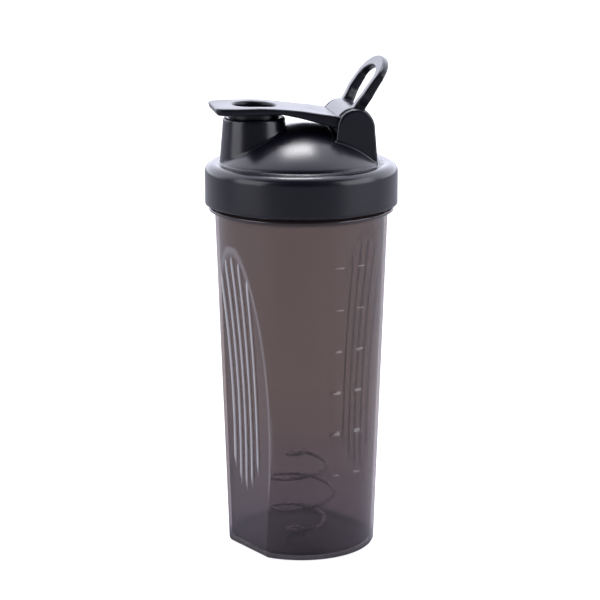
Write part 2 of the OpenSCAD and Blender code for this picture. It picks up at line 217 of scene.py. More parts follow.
# Widths over which edges and joins are rounded
COLLAR_EDGE = 0.5
DOME_EDGE = 1.2
DOME_JOIN = 0.25
SPOUT_EDGE = 1.0
SPOUT_JOIN = 0.5
TOWER_EDGE = 0.8
TOWER_JOIN = 0.6
SKIRT_EDGE = 0.8
HOLLOW_EDGE = 0.3
POCKET_EDGE = 0.6
BORE_EDGE = 0.9
CAP_EDGE = 1.1
EAR_EDGE = 0.5
CAP_JOIN = 0.4
PLUG_EDGE = 1.0
RECESS_EDGE = 1.6
LOOP_EDGE = 0.9
LOOP_JOIN = 0.5

# Grid cells and the room round each shape for its surface net
LID_CELL = 0.75
LID_MARGIN = 1.5
FINE_CELL = 0.55
FINE_MARGIN = 1.0


# ---------------------------------------------------------------- mesh tools

def add_object(name, data):
    """An object with this data, in the scene."""
    added = bpy.data.objects.new(name, data)
    bpy.context.scene.collection.objects.link(added)
    return added


def make_piece(name, points, faces, body, node, material):
    """A smooth-shaded mesh object from points in millimetres, tied to the frame."""
    mesh = bpy.data.meshes.new(name)
    mesh.from_pydata((np.asarray(points, float) * MM).tolist(), [], [list(face) for face in faces])
    mesh.polygons.foreach_set("use_smooth", [True] * len(mesh.polygons))
    mesh.materials.append(material)
    mesh.update()
    piece = add_object(name, mesh)
    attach(piece, body)
    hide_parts(node)
    return piece


def blend_min(a, b, k):
    """The smaller of two fields, rounded over a width k."""
    h = np.clip(0.5 + 0.5 * (b - a) / k, 0, 1)
    return b + (a - b) * h - k * h * (1 - h)


def blend_max(a, b, k):
    """The larger of two fields, rounded over a width k."""
    return -blend_min(-a, -b, k)


def smooth_step(t):
    """An even ease from 0 to 1."""
    t = np.clip(t, 0, 1)
    return t * t * (3 - 2 * t)


def surface_net(field, low, high, cell, settle=5):
    """Quads on the zero surface of a field that is negative inside, in a box."""
    low = np.asarray(low, float)
    count = np.ceil((np.asarray(high, float) - low) / cell).astype(int) + 1
    axes = [low[i] + cell * np.arange(count[i]) for i in range(3)]
    across, up = np.meshgrid(axes[1], axes[2], indexing="ij")
    values = np.stack([field(np.full_like(across, x), across, up) for x in axes[0]])
    inside = values < 0
    corners = [np.array(c) for c in itertools.product((0, 1), repeat=3)]

    def shifted(grid, corner):
        return grid[tuple(slice(c, n - 1 + c) for c, n in zip(corner, count))]

    filled = sum(shifted(inside, c).astype(np.int8) for c in corners)
    active = (filled > 0) & (filled < 8)
    cells = np.argwhere(active)
    index = np.full(active.shape, -1)
    index[active] = np.arange(len(cells))
    total = np.zeros((len(cells), 3))
    hits = np.zeros(len(cells))
    for a, b in itertools.combinations(corners, 2):
        if np.abs(a - b).sum() != 1:
            continue
        va = values[tuple((cells + a).T)]
        vb = values[tuple((cells + b).T)]
        crosses = (va < 0) != (vb < 0)
        share = va[crosses] / (va[crosses] - vb[crosses])
        total[crosses] += a + share[:, None] * (b - a)
        hits[crosses] += 1
    points = low + (cells + total / hits[:, None]) * cell

    quads = []
    for axis in range(3):
        step = np.eye(3, dtype=int)
        u, v = step[(axis + 1) % 3], step[(axis + 2) % 3]
        near = inside[tuple(slice(0, count[i] - (i == axis)) for i in range(3))]
        far = inside[tuple(slice(int(i == axis), None) for i in range(3))]
        for leaving in (True, False):
            g = np.argwhere((near & ~far) if leaving else (~near & far))
            g = g[((g - u - v) >= 0).all(1) & (g < count - 1).all(1)]
            ring = [g - u - v, g - v, g, g - u]
            if not leaving:
                ring.reverse()
            quads.append(np.stack([index[tuple(c.T)] for c in ring], 1))
    quads = np.concatenate(quads)

    tiny = 0.02
    for _ in range(settle):
        x, y, z = points.T
        f = field(x, y, z)
        slope = np.stack([field(x + tiny, y, z) - f, field(x, y + tiny, z) - f,
                          field(x, y, z + tiny) - f], 1) / tiny
        move = -f / np.maximum((slope ** 2).sum(1), 0.2)
        move = np.clip(move, -0.4 * cell, 0.4 * cell)
        points = points + move[:, None] * slope
    return points, quads.tolist()


def tube_faces(rows, around):
    """Faces of a closed tube: quads between its rings of points, and a face on each end."""
    faces = [(i * around + j, i * around + (j + 1) % around,
              (i + 1) * around + (j + 1) % around, (i + 1) * around + j)
             for i in range(rows - 1) for j in range(around)]
    faces.append(list(range(around))[::-1])
    faces.append([(rows - 1) * around + j for j in range(around)])
    return faces


def lathe(path, count):
    """Quads from a closed path of (radius, height) turned round the Z axis."""
    path = np.asarray(path, float)
    angles = 2 * math.pi * np.arange(count) / count
    points = np.stack([
        np.outer(np.cos(angles), path[:, 0]),
        np.outer(np.sin(angles), path[:, 0]),
        np.tile(path[:, 1], (count, 1))], 2).reshape(-1, 3)
    n = len(path)
    faces = [(i * n + j, ((i + 1) % count) * n + j,
              ((i + 1) % count) * n + (j + 1) % n, i * n + (j + 1) % n)
             for i in range(count) for j in range(n)]
    return points, faces


def round_path(corners, radius, steps=5):
    """A closed path with each corner rounded, counter-clockwise corners kept so."""
    corners = [np.array(c, float) for c in corners]
    path = []
    for i, corner in enumerate(corners):
        before = corners[i - 1] - corner
        after = corners[(i + 1) % len(corners)] - corner
        start = corner + before / np.linalg.norm(before) * radius
        end = corner + after / np.linalg.norm(after) * radius
        for t in np.linspace(0, 1, steps):
            path.append((1 - t) ** 2 * start + 2 * t * (1 - t) * corner + t * t * end)
    return path


# ---------------------------------------------------------------- materials

# The cup's tint at heights in millimetres, with painted shade darkening the foot and the ring (the ring
# partly for its thicker plastic), and what the ridges change
RING_TINT_AND_SHADE = (0.16, 0.135, 0.145)
SMOKE_AND_SHADE_BY_HEIGHT = [
    # painted shade: the foot is far darker than the wall above it
    (0, (0.15, 0.14, 0.165)),
    (BASE_ROUND, (0.19, 0.175, 0.205)),
    (5, (0.535, 0.49, 0.53)),
    (24, (0.56, 0.512, 0.53)),
    (72, (0.618, 0.557, 0.534)),
    (RING_Z - 2, (0.616, 0.559, 0.536)),
    # painted shade over the ring below the lid, partly the ring's thicker plastic
    (RING_Z, RING_TINT_AND_SHADE),
    (NECK_Z + 1, RING_TINT_AND_SHADE),
    (RIM_Z, (0.50, 0.46, 0.45)),
]
RIDGE_TINT = (0.62, 0.60, 0.62)
RIDGE_GLOSS = 0.75


def new_material(name):
    """A node material, with its nodes, its links and its Principled shader."""
    material = bpy.data.materials.new(name)
    material.use_nodes = True
    nodes = material.node_tree.nodes
    return material, nodes, material.node_tree.links, nodes["Principled BSDF"]


def noise(nodes, links, scale, detail, stretch=(1, 1, 1)):
    """A noise texture in object space; stretch scales the space on each axis."""
    coords = nodes.new("ShaderNodeTexCoord")
    mapping = nodes.new("ShaderNodeMapping")
    mapping.inputs["Scale"].default_value = stretch
    texture = nodes.new("ShaderNodeTexNoise")
    texture.inputs["Scale"].default_value = scale
    texture.inputs["Detail"].default_value = detail
    links.new(coords.outputs["Object"], mapping.inputs["Vector"])
    links.new(mapping.outputs["Vector"], texture.inputs["Vector"])
    return texture


def spread(nodes, links, source, low, high):
    """Maps a texture's middle values to the range from low to high."""
    ranger = nodes.new("ShaderNodeMapRange")
    ranger.inputs["From Min"].default_value = 0.3
    ranger.inputs["From Max"].default_value = 0.7
    ranger.inputs["To Min"].default_value = low
    ranger.inputs["To Max"].default_value = high
    links.new(source, ranger.inputs["Value"])
    return ranger.outputs["Result"]


def tint(nodes, links, factor, dark, light):
    """Maps a texture's middle values to the colours from dark to light."""
    ramp = nodes.new("ShaderNodeValToRGB")
    ramp.color_ramp.elements[0].position = 0.3
    ramp.color_ramp.elements[0].color = (*dark, 1)
    ramp.color_ramp.elements[1].position = 0.7
    ramp.color_ramp.elements[1].color = (*light, 1)
    links.new(factor, ramp.inputs["Fac"])
    return ramp.outputs["Color"]


def grain(nodes, links, shader, height, distance, strength):
    """Fine relief on a shader, distance in metres."""
    bump = nodes.new("ShaderNodeBump")
    bump.inputs["Distance"].default_value = distance
    bump.inputs["Strength"].default_value = strength
    links.new(height, bump.inputs["Height"])
    links.new(bump.outputs["Normal"], shader.inputs["Normal"])


def black_plastic(name, rough_low, rough_high, dark, light, ior):
    """Satin black moulded plastic: fine mould grain, uneven gloss, slight colour drift."""
    material, nodes, links, shader = new_material(name)
    broad = noise(nodes, links, 45, 4)
    fine = noise(nodes, links, 2600, 2)
    links.new(tint(nodes, links, broad.outputs["Fac"], dark, light), shader.inputs["Base Color"])
    links.new(spread(nodes, links, broad.outputs["Fac"], rough_low, rough_high),
              shader.inputs["Roughness"])
    grain(nodes, links, shader, fine.outputs["Fac"], 0.00004, 0.35)
    shader.inputs["IOR"].default_value = ior
    return material


def rubber(name, dark, light):
    """Dull soft rubber with a fine grain."""
    material, nodes, links, shader = new_material(name)
    fine = noise(nodes, links, 900, 3)
    links.new(tint(nodes, links, fine.outputs["Fac"], dark, light), shader.inputs["Base Color"])
    links.new(spread(nodes, links, fine.outputs["Fac"], 0.55, 0.72), shader.inputs["Roughness"])
    grain(nodes, links, shader, fine.outputs["Fac"], 0.00005, 0.4)
    return material


def steel(name, stretch):
    """Drawn steel: fine streaks along the draw."""
    material, nodes, links, shader = new_material(name)
    streaks = noise(nodes, links, 500, 4, stretch)
    links.new(tint(nodes, links, streaks.outputs["Fac"], (0.42, 0.42, 0.44), (0.66, 0.66, 0.68)),
              shader.inputs["Base Color"])
    links.new(spread(nodes, links, streaks.outputs["Fac"], 0.2, 0.36), shader.inputs["Roughness"])
    shader.inputs["Metallic"].default_value = 1.0
    grain(nodes, links, shader, streaks.outputs["Fac"], 0.00002, 0.3)
    return material


def multiply(nodes, links, factor, a, b):
    """The colour a multiplied by b, a plain colour or a socket, by the share in factor."""
    mix = nodes.new("ShaderNodeMix")
    mix.data_type = "RGBA"
    mix.blend_type = "MULTIPLY"
    if isinstance(factor, float):
        mix.inputs["Factor"].default_value = factor
    else:
        links.new(factor, mix.inputs["Factor"])
    links.new(a, mix.inputs["A"])
    if isinstance(b, tuple):
        mix.inputs["B"].default_value = (*b, 1)
    else:
        links.new(b, mix.inputs["B"])
    return mix.outputs["Result"]


def smoke_plastic(name, milky_share):
    """Smoke-grey see-through plastic: a tinted clear share and a milky share under a satin gloss.

    The tint changes with height, with painted shade at the foot and over the ring, and is darker and
    glossier where the mesh has "ridge".
    """
    material, nodes, links, shader = new_material(name)
    broad = noise(nodes, links, 14, 1, (1, 1, 0.35))
    links.new(tint(nodes, links, broad.outputs["Fac"], (0.085, 0.068, 0.074), (0.100, 0.080, 0.086)),
              shader.inputs["Base Color"])
    shader.inputs["Roughness"].default_value = 0.6
    shader.inputs["Specular IOR Level"].default_value = 0.0
    clear = nodes.new("ShaderNodeBsdfTransparent")
    coords = nodes.new("ShaderNodeTexCoord")
    split = nodes.new("ShaderNodeSeparateXYZ")
    links.new(coords.outputs["Object"], split.inputs["Vector"])
    # the height ramp carries painted shade at the foot and over the ring
    depth = nodes.new("ShaderNodeValToRGB")
    while len(depth.color_ramp.elements) < len(SMOKE_AND_SHADE_BY_HEIGHT):
        depth.color_ramp.elements.new(0.5)
    for element, (height, colour) in zip(depth.color_ramp.elements, SMOKE_AND_SHADE_BY_HEIGHT):
        element.position = height / RIM_Z
        element.color = (*colour, 1)
    level = nodes.new("ShaderNodeMapRange")
    level.inputs["From Min"].default_value = 0.0
    level.inputs["From Max"].default_value = RIM_Z * MM
    links.new(split.outputs["Z"], level.inputs["Value"])
    links.new(level.outputs["Result"], depth.inputs["Fac"])
    patches = tint(nodes, links, broad.outputs["Fac"], (0.97, 0.97, 0.97), (1, 1, 1))
    drift_and_shade = multiply(nodes, links, 1.0, depth.outputs["Color"], patches)
    ridge = nodes.new("ShaderNodeAttribute")
    ridge.attribute_name = "ridge"
    thicker = multiply(nodes, links, ridge.outputs["Fac"], drift_and_shade, RIDGE_TINT)
    links.new(thicker, clear.inputs["Color"])
    body = nodes.new("ShaderNodeMixShader")
    body.inputs["Fac"].default_value = milky_share
    links.new(clear.outputs["BSDF"], body.inputs[1])
    links.new(shader.outputs["BSDF"], body.inputs[2])
    gloss = nodes.new("ShaderNodeBsdfGlossy")
    links.new(spread(nodes, links, broad.outputs["Fac"], 0.09, 0.15), gloss.inputs["Roughness"])
    grain(nodes, links, gloss, broad.outputs["Fac"], 0.0002, 0.3)
    facing = nodes.new("ShaderNodeLayerWeight")
    steep = nodes.new("ShaderNodeMath")
    steep.operation = "POWER"
    steep.inputs[1].default_value = 4.0
    links.new(facing.outputs["Facing"], steep.inputs[0])
    mirrored = nodes.new("ShaderNodeMath")
    mirrored.operation = "MULTIPLY_ADD"
    mirrored.inputs[1].default_value = 0.8
    mirrored.inputs[2].default_value = 0.045
    links.new(steep.outputs["Value"], mirrored.inputs[0])
    mix = nodes.new("ShaderNodeMixShader")
    polished = nodes.new("ShaderNodeMath")
    polished.operation = "MULTIPLY_ADD"
    polished.use_clamp = True
    polished.inputs[1].default_value = RIDGE_GLOSS
    links.new(ridge.outputs["Fac"], polished.inputs[0])
    links.new(mirrored.outputs["Value"], polished.inputs[2])
    links.new(polished.outputs["Value"], mix.inputs["Fac"])
    links.new(body.outputs["Shader"], mix.inputs[1])
    links.new(gloss.outputs["BSDF"], mix.inputs[2])
    links.new(mix.outputs["Shader"], nodes["Material Output"].inputs["Surface"])
    return material


LID_BLACK = black_plastic("lid_black", 0.21, 0.28,
                          (0.0030, 0.0034, 0.0065), (0.0050, 0.0055, 0.0095), 1.44)
CAP_BLACK = black_plastic("cap_black", 0.27, 0.34,
                          (0.0035, 0.0038, 0.0070), (0.0058, 0.0062, 0.0105), 1.36)
LOOP_BLACK = black_plastic("loop_black", 0.24, 0.32,
                           (0.0030, 0.0034, 0.0065), (0.0052, 0.0056, 0.0098), 1.4)
GASKET_RUBBER = rubber("gasket_rubber", (0.030, 0.030, 0.033), (0.045, 0.045, 0.050))
SEAL_RUBBER = rubber("seal_rubber", (0.060, 0.060, 0.065), (0.085, 0.085, 0.090))
WIRE_STEEL = steel("wire_steel", (1, 1, 6))
PIN_STEEL = steel("pin_steel", (6, 0.5, 6))
SMOKE = smoke_plastic("smoke_plastic", 0.2)


# ---------------------------------------------------------------- cup

def cone_r(z):
    """Radius of the cup's round wall."""
    return CUP_BASE_R + (CUP_TOP_R - CUP_BASE_R) * z / RING_Z


GRIP_SWING = cone_r(GRIP_TOP_Z) - CUP_BASE_R + GRIP_DEPTH
GRIP_BEND_R = ((GRIP_TOP_Z - GRIP_BEND_Z) ** 2 + GRIP_SWING ** 2) / (2 * GRIP_SWING)


def grip_x(z):
    """Distance from the axis to a grip's face."""
    rise = np.maximum(z - GRIP_BEND_Z, 0)
    return CUP_BASE_R - GRIP_DEPTH + GRIP_BEND_R - np.sqrt(GRIP_BEND_R ** 2 - rise ** 2)


def rib_field(side, z):
    """Height of the ribs above a grip's face, side measured across the grip."""
    height = np.zeros_like(side)
    for i in range(RIB_COUNT):
        k = i - (RIB_COUNT - 1) / 2
        low = RIB_FOOT_Z + RIB_STAGGER * k * k
        high = GRIP_TOP_Z - RIB_TOP_GAP - RIB_STAGGER * k * k
        across = smooth_step((RIB_HALF_W - np.abs(side - k * RIB_PITCH)) / RIB_FLANK)
        along = smooth_step((z - low) / RIB_FOOT_RUN) * smooth_step((high - z) / RIB_TOP_RUN)
        height = np.maximum(height, RIB_H * across * along)
    return height


def mark_field(theta, z):
    """Height of the volume marks above the round wall."""
    side = cone_r(z) * np.sin(theta - MARK_TURN)
    across = smooth_step((MARK_HALF_W - np.abs(np.abs(side) - MARK_SIDE)) / 0.3 + 0.5)
    nearest = np.min(np.abs(z[:, None] - MARK_HEIGHTS - MARK_T / 2), axis=1)
    return MARK_PROUD * across * (nearest < MARK_T / 2) * (np.cos(theta - MARK_TURN) > 0)


def wall_r(theta, z, inset, ribs):
    """Radius of the cup's wall; inset moves both the round wall and the grips inward."""
    r = cone_r(z) - inset + (mark_field(theta, z) if ribs else 0)
    for turn in (GRIP_TURN, GRIP_TURN + math.pi):
        away = np.angle(np.exp(1j * (theta - turn)))
        facing = np.maximum(np.cos(away), 0.2)
        flat = (grip_x(z) - inset) / facing
        if ribs:
            side = r * np.sin(away)
            flat = flat + rib_field(side, z) * (np.abs(away) < 1)
        near = np.abs(away) < 1.2
        soft = GRIP_BLEND * (0.45 + 0.55 * smooth_step((z - 20) / 40))
        r = np.where(near, blend_min(flat, r, soft), r)
    return r


def thread_height(theta, z, start_turn, start_z, turns):
    """Share of a thread's full height at a place on the wall, 0 to 1."""
    best = np.zeros_like(z)
    for k in range(-1, 4):
        turn = theta / (2 * math.pi) + k
        done = turn - start_turn
        off = np.abs(z - (start_z + THREAD_PITCH * turn))
        flank = (THREAD_HALF_ROOT - off) / (THREAD_HALF_ROOT - THREAD_HALF_CREST)
        run = np.clip(np.minimum(done, turns - done) / THREAD_LEAD_IN, 0, 1)
        best = np.maximum(best, np.minimum(np.clip(flank, 0, 1), run))
    return best


def grip_columns():
    """Angles round the cup, closest over the grips and fairly close over the volume marks."""
    fine, coarse, mark_fine = 0.34, 2.5, 0.5
    half, mark_half = 32, 16
    columns = []
    for side in (0, 180):
        columns.append(np.arange(-half, half, fine) + side)
        gap_steps = np.arange(half, 90 - mark_half, coarse)
        marks = np.arange(90 - mark_half, 90 + mark_half, mark_fine if side else coarse)
        columns.append(np.concatenate([gap_steps, marks, 180 - gap_steps[:0:-1]]) + side)
    return np.radians(np.concatenate(columns)) + GRIP_TURN


def ridge_share(theta, z):
    """Where the polished rib tops and grip edges are, 0 to 1."""
    share = np.zeros_like(theta)
    for turn in (GRIP_TURN, GRIP_TURN + math.pi):
        away = np.angle(np.exp(1j * (theta - turn)))
        near = np.abs(away) < 1
        share = np.maximum(share, near * rib_field(cone_r(z) * np.sin(away), z) / RIB_H)
        apart = cone_r(z) - grip_x(z) / np.maximum(np.cos(away), 0.2)
        edge = smooth_step(1 - np.abs(apart - 0.1) / 0.6) * smooth_step((z - 26) / 16)
        share = np.maximum(share, near * EDGE_SHARE * edge * (z < GRIP_TOP_Z + 1))
    return share


def build_cup():
    """One skin in rings of points: under the foot, up the outside, over the rim, down the inside."""
    theta = grip_columns()
    rows = []
    ridges = []

    def add(r, z, ridge=None):
        rows.append(np.stack([r * np.cos(theta), r * np.sin(theta),
                              np.broadcast_to(z, theta.shape)], 1))
        ridges.append(np.zeros_like(theta) if ridge is None else ridge)

    def flat(r, z):
        add(np.full_like(theta, r), z)

    for r, z in ((2, FOOT_RECESS_H), (FOOT_RECESS_R - 0.6, FOOT_RECESS_H),
                 (FOOT_RECESS_R - 0.2, FOOT_RECESS_H - 0.15), (FOOT_RECESS_R, FOOT_RECESS_H / 2),
                 (FOOT_RECESS_R + 0.2, 0.12), (FOOT_RECESS_R + 0.6, 0)):
        flat(r, z)
    for phi in np.radians(np.linspace(0, 90, 9)):
        inset = BASE_ROUND * (1 - math.sin(phi))
        z = BASE_ROUND * (1 - math.cos(phi))
        add(wall_r(theta, np.full_like(theta, z), inset, False), z)
    heights = np.concatenate([np.linspace(5, 27, 8), np.arange(28, 52, 1.2), np.arange(52, 126, 4),
                              np.arange(127, 158, 1.0), np.linspace(160, RING_Z - 0.8, 3)])
    edges = np.array([-0.06, 0.06, MARK_T - 0.06, MARK_T + 0.06])
    heights = heights[np.min(np.abs(heights[:, None] - MARK_HEIGHTS - MARK_T / 2), axis=1) > 0.6]
    heights = np.sort(np.concatenate([heights, (MARK_HEIGHTS[:, None] + edges).ravel()]))
    for z in heights:
        level = np.full_like(theta, z)
        add(wall_r(theta, level, 0, True), z, ridge_share(theta, level))
    for r, z in ((CUP_TOP_R + 0.15, RING_Z - 0.3), (CUP_TOP_R + 0.7, RING_Z),
                 (RING_R - 0.5, RING_Z), (RING_R - 0.1, RING_Z + 0.2), (RING_R, RING_Z + 0.6),
                 (RING_R, NECK_Z - 0.6), (RING_R - 0.1, NECK_Z - 0.2), (RING_R - 0.5, NECK_Z),
                 (NECK_R + 0.5, NECK_Z), (NECK_R, NECK_Z + 0.4)):
        flat(r, z)
    for z in np.arange(NECK_Z + 1, RIM_Z - 1, 0.55):
        level = np.full_like(theta, z)
        add(NECK_R + THREAD_DEPTH * thread_height(theta, level, 0, THREAD_Z, THREAD_TURNS), z)
    in_r = CUP_TOP_R - CUP_WALL
    for r, z in ((NECK_R, RIM_Z - 0.5), (NECK_R - 0.15, RIM_Z - 0.15), (NECK_R - 0.5, RIM_Z),
                 (in_r + 0.5, RIM_Z), (in_r + 0.15, RIM_Z - 0.15), (in_r, RIM_Z - 0.5),
                 (in_r, RING_Z + 2)):
        flat(r, z)
    for z in np.linspace(RING_Z - 2, FLOOR_T + 3, 16):
        add(wall_r(theta, np.full_like(theta, z), CUP_WALL, False), z)
    for phi in np.radians(np.linspace(75, 0, 6)):
        inset = CUP_WALL + FLOOR_ROUND * (1 - math.sin(phi))
        z = FLOOR_T + FLOOR_ROUND * (1 - math.cos(phi))
        add(wall_r(theta, np.full_like(theta, z), inset, False), z)
    flat(24, FLOOR_T)
    flat(2, FLOOR_T)

    piece = make_piece("cup_body", np.concatenate(rows), tube_faces(len(rows), len(theta)),
                       "cup", "cup", SMOKE)
    layer = piece.data.attributes.new("ridge", "FLOAT", "POINT")
    layer.data.foreach_set("value", np.concatenate(ridges).astype(np.float32))


# ---------------------------------------------------------------- whisk ball and seals

def build_whisk():
    """A round wire wound in turns over a ball that rests on the cup's floor."""
    wire_r = 1.0
    turns = 4
    per_turn, sides = 48, 12
    mid_z = FLOOR_T + (whisk_high[2] - FLOOR_T) / 2
    ball_r = whisk_high[0] - wire_r
    half_h = (whisk_high[2] - FLOOR_T) / 2 - wire_r
    s = np.linspace(-1, 1, per_turn * turns + 1)
    latitude = np.radians(86) * s
    angle = math.pi * turns * (s + 1)
    line = np.stack([ball_r * np.cos(latitude) * np.cos(angle),
                     ball_r * np.cos(latitude) * np.sin(angle),
                     mid_z + half_h * np.sin(latitude)], 1)
    along = np.gradient(line, axis=0)
    along /= np.linalg.norm(along, axis=1)[:, None]
    u = np.cross([0, 0, 1], along)
    u /= np.linalg.norm(u, axis=1)[:, None]
    w = np.cross(along, u)
    turn = 2 * math.pi * np.arange(sides) / sides
    points = (line[:, None] + wire_r * (np.cos(turn)[None, :, None] * u[:, None]
              + np.sin(turn)[None, :, None] * w[:, None])).reshape(-1, 3)
    make_piece("whisk_wire", points, tube_faces(len(line), sides),
               "whisk", "whisk_ball", WIRE_STEEL)


def build_gasket():
    in_r, out_r = SKIRT_R + 0.3, gasket_high[0]
    z0, z1 = gasket_low[2], gasket_high[2]
    path = round_path([(in_r, z0), (out_r, z0), (out_r, z1), (in_r, z1)], 0.5)
    points, faces = lathe(path, 160)
    make_piece("gasket_ring", points, faces, "gasket", "lid_gasket", GASKET_RUBBER)


def build_seal():
    centre_z = (seal_low[2] + seal_high[2]) / 2
    minor = (seal_high[2] - seal_low[2]) / 2
    major = (seal_high[0] - seal_low[0]) / 2 - minor
    angles = np.linspace(0, 2 * math.pi, 16, endpoint=False)
    path = [(major + minor * math.cos(a), centre_z + minor * math.sin(a)) for a in angles]
    points, faces = lathe(path, 96)
    points[:, 0] += SPOUT_X
    make_piece("seal_ring", points, faces, "cap", "spout_seal", SEAL_RUBBER)


def build_pin():
    half = pin_high[1]
    bevel = 0.4
    path = [(0.05, -half), (PIN_R - bevel, -half), (PIN_R, -half + bevel),
            (PIN_R, half - bevel), (PIN_R - bevel, half), (0.05, half)]
    points, faces = lathe(path, 48)
    points = np.stack([points[:, 0] + hinge[0], -points[:, 2], points[:, 1] + hinge[2]], 1)
    make_piece("hinge_rod", points, faces, "lid", "hinge_pin", PIN_STEEL)


# ---------------------------------------------------------------- lid

def slab(value, low, high):
    """Distance out of the band from low to high."""
    return np.maximum(low - value, value - high)


def lid_field(x, y, z):
    """Below zero inside the lid: its outside shapes, less the hollow, the pocket and the spout's bore."""
    r = np.hypot(x, y)
    corner = np.maximum(r - (COLLAR_R - COLLAR_ROUND), 0)
    lift = np.maximum(z - (COLLAR_TOP_Z - COLLAR_ROUND), 0)
    collar = np.where(z > COLLAR_TOP_Z - COLLAR_ROUND,
                      np.maximum(np.hypot(corner, lift) - COLLAR_ROUND, z - COLLAR_TOP_Z),
                      r - COLLAR_R)
    collar = blend_max(collar, COLLAR_Z - z, COLLAR_EDGE)
    ball = np.sqrt(r * r + (z - DOME_CENTRE_Z) ** 2)
    dome = blend_max(ball - DOME_SPHERE_R, r - DOME_R, DOME_EDGE)
    dome = np.maximum(dome, LID_UNDER_Z - z)
    outside = blend_min(collar, dome, DOME_JOIN)

    from_spout = np.hypot(x - SPOUT_X, y)
    spout = from_spout - (SPOUT_R + SPOUT_DRAFT * (SPOUT_Z - z))
    spout = blend_max(spout, z - SPOUT_Z, SPOUT_EDGE)
    spout = np.maximum(spout, COLLAR_TOP_Z - z)
    outside = blend_min(outside, spout, SPOUT_JOIN)

    across, rise = x - hinge[0], z - hinge[2]
    spread_w = TOWER_R + np.maximum(-rise, 0) * np.where(across > 0, TOWER_BACK_LEAN, TOWER_FRONT_LEAN)
    tower = np.where(rise > 0, np.hypot(across, rise) - TOWER_R, np.abs(across) - spread_w)
    tower = blend_max(tower, slab(np.abs(y), TOWER_IN, TOWER_OUT), TOWER_EDGE)
    tower = np.maximum(tower, LID_UNDER_Z + 1 - z)
    outside = blend_min(outside, tower, TOWER_JOIN)

    hollow = np.maximum(r - COLLAR_IN_R, z - LID_UNDER_Z)
    skirt = blend_max(slab(r, SKIRT_IN_R, SKIRT_R), SKIRT_Z - z, SKIRT_EDGE)
    hollow = np.maximum(hollow, -skirt)
    dome_inside = np.maximum(ball - (DOME_SPHERE_R - LID_T), LID_UNDER_Z - 1 - z)
    hollow = np.minimum(hollow, np.maximum(r - SKIRT_IN_R, dome_inside))
    theta = np.arctan2(y, x)
    bead = thread_height(theta, z, LID_THREAD_START, THREAD_Z - LID_THREAD_DROP, THREAD_TURNS)
    hollow = np.maximum(hollow, r - (COLLAR_IN_R - THREAD_DEPTH * bead))
    axle = np.hypot(across, rise)
    trough = np.maximum(axle - (POCKET_R + 2), np.abs(y) - TOWER_OUT)
    hollow = np.maximum(hollow, -trough)
    body = blend_max(outside, -hollow, HOLLOW_EDGE)

    pocket = blend_max(axle - POCKET_R, np.abs(y) - TOWER_IN, 0.2)
    body = blend_max(body, -pocket, POCKET_EDGE)
    socket = np.maximum(axle - PIN_R, np.abs(y) - pin_high[1])
    body = np.maximum(body, -socket)
    bore = blend_max(from_spout - BORE_R, SPOUT_Z - BORE_DEPTH - z, 0.4)
    body = blend_max(body, -bore, BORE_EDGE)
    throat = np.maximum(from_spout - (SPOUT_R - SPOUT_WALL + SPOUT_DRAFT * BORE_DEPTH),
                        slab(z, LID_UNDER_Z - 0.5, SPOUT_Z - BORE_DEPTH + 0.5))
    return blend_max(body, -throat, HOLLOW_EDGE)


def build_lid():
    points, faces = surface_net(lid_field, lid_low - LID_MARGIN, lid_high + LID_MARGIN, LID_CELL)
    make_piece("lid_shell", points, faces, "lid", "lid", LID_BLACK)


# ---------------------------------------------------------------- flip cap

def cap_half_w(x):
    """Half the cap's width: full over the spout, slimmer in the arm, full at the ears."""
    start_x, arm_x, ear_x = SPOUT_X + 4, -2.0, hinge[0] - 15
    arm_w = CAP_HALF_W - CAP_WAIST
    near = CAP_HALF_W - CAP_WAIST * smooth_step((x - start_x) / (arm_x - start_x))
    far = arm_w + (EAR_OUT - arm_w) * smooth_step((x - arm_x) / (ear_x - arm_x))
    full = np.where(x < arm_x, near, far)
    return full - 1.6 * smooth_step((SPOUT_X - 8 - x) / 12)


def cap_top(x):
    """Height of the cap's top face, falling towards the hinge."""
    end_x, arm_top_h = hinge[0] - 8, 5.6
    t = np.clip((x - SPOUT_X) / (end_x - SPOUT_X), 0, 1)
    return PLATE_TOP_Z - (PLATE_TOP_Z - hinge[2] - arm_top_h) * t ** 1.4


def cap_bottom(x):
    """Height of the cap's under face."""
    start_x, end_x = SPOUT_X + 11.4, hinge[0] - 9.8
    t = np.clip((x - start_x) / (end_x - start_x), 0, 1)
    return PLATE_Z - (PLATE_Z - hinge[2]) * t ** 1.1


